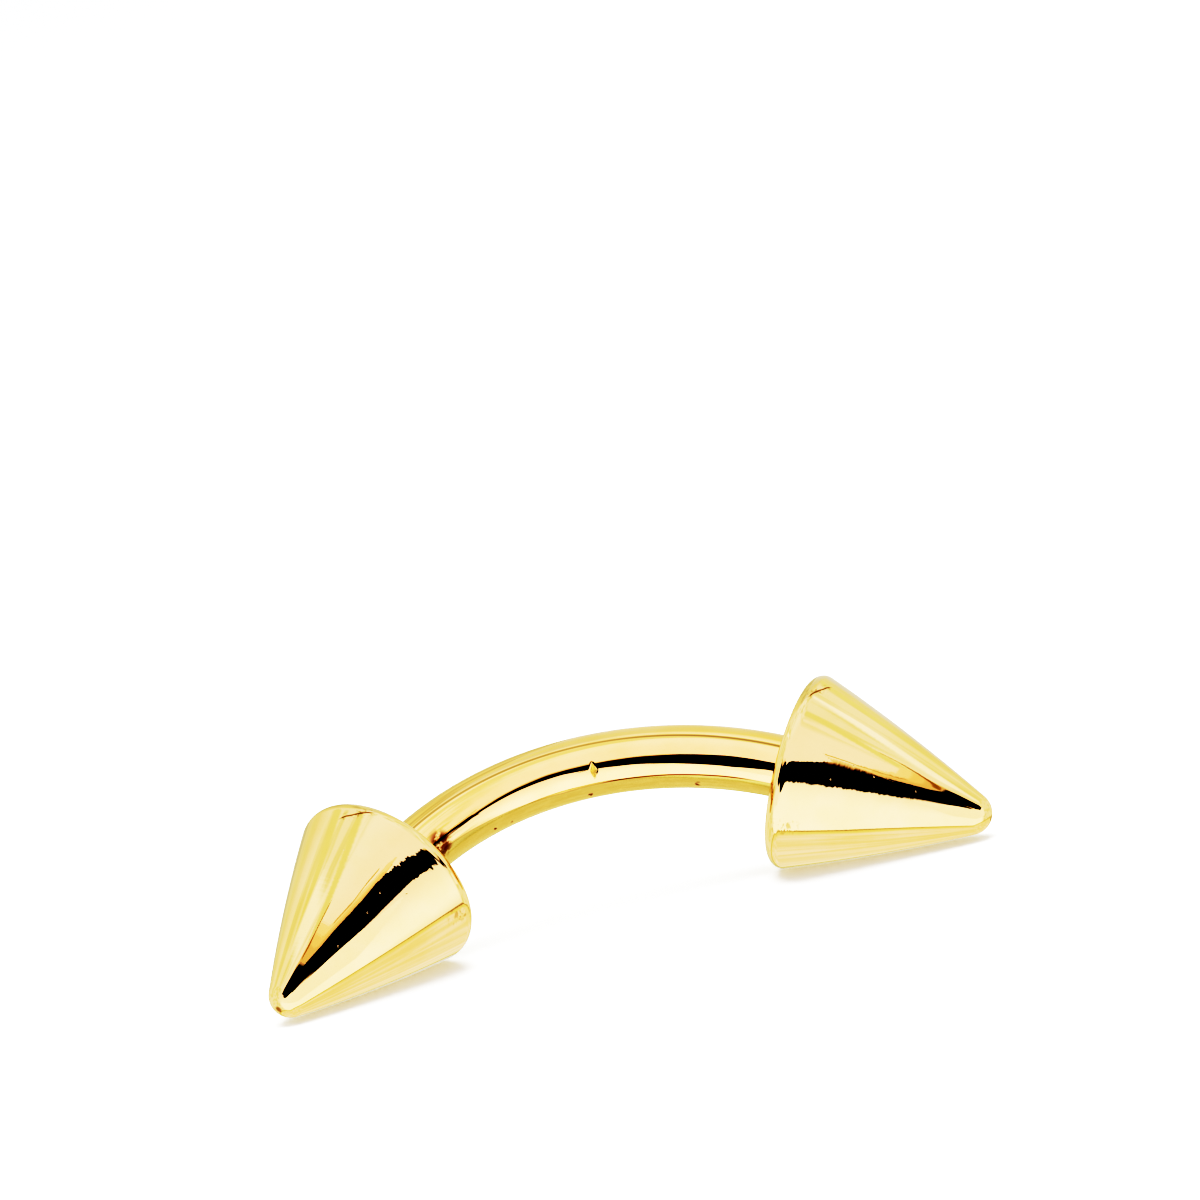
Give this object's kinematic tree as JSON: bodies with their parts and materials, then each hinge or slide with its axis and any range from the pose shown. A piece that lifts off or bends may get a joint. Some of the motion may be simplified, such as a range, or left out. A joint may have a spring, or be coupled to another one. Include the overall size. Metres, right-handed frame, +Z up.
{
  "type": "eyebrow barbell",
  "caption": "Curved eyebrow barbell in polished gold colour: a short bent bar with a blunt cone spike screwed onto each end, lying on the sides of its spikes.",
  "frame": {"origin": "middle of the bounding box in X and Y, on the surface that the barbell lies on", "axes": "+X along the line through the middles of the bases of the spikes, from the left spike to the right one; +Z up; the points of the spikes lie towards -Y and the arch of the bar leans back towards +Y"},
  "size_m": [0.0144, 0.0038, 0.0035],
  "materials": {
    "bar_gold": "gold-coloured plating on steel, polished, with faint drawing lines",
    "spike_gold": "gold-coloured plating on steel, mirror polished, with faint turning marks near the base"
  },
  "bodies": {
    "bar": {"curved_bar": "bar_gold"},
    "left_end": {"left_spike": "spike_gold"},
    "right_end": {"right_spike": "spike_gold"}
  },
  "joints": [
    {"name": "left_spike_off", "type": "slide", "parent": "bar", "child": "left_end", "axis": [-0.788, -0.4887, -0.3744], "range_m": [0, 0.0024]},
    {"name": "right_spike_off", "type": "slide", "parent": "bar", "child": "right_end", "axis": [0.788, -0.4887, -0.3744], "range_m": [0, 0.0024]}
  ]
}
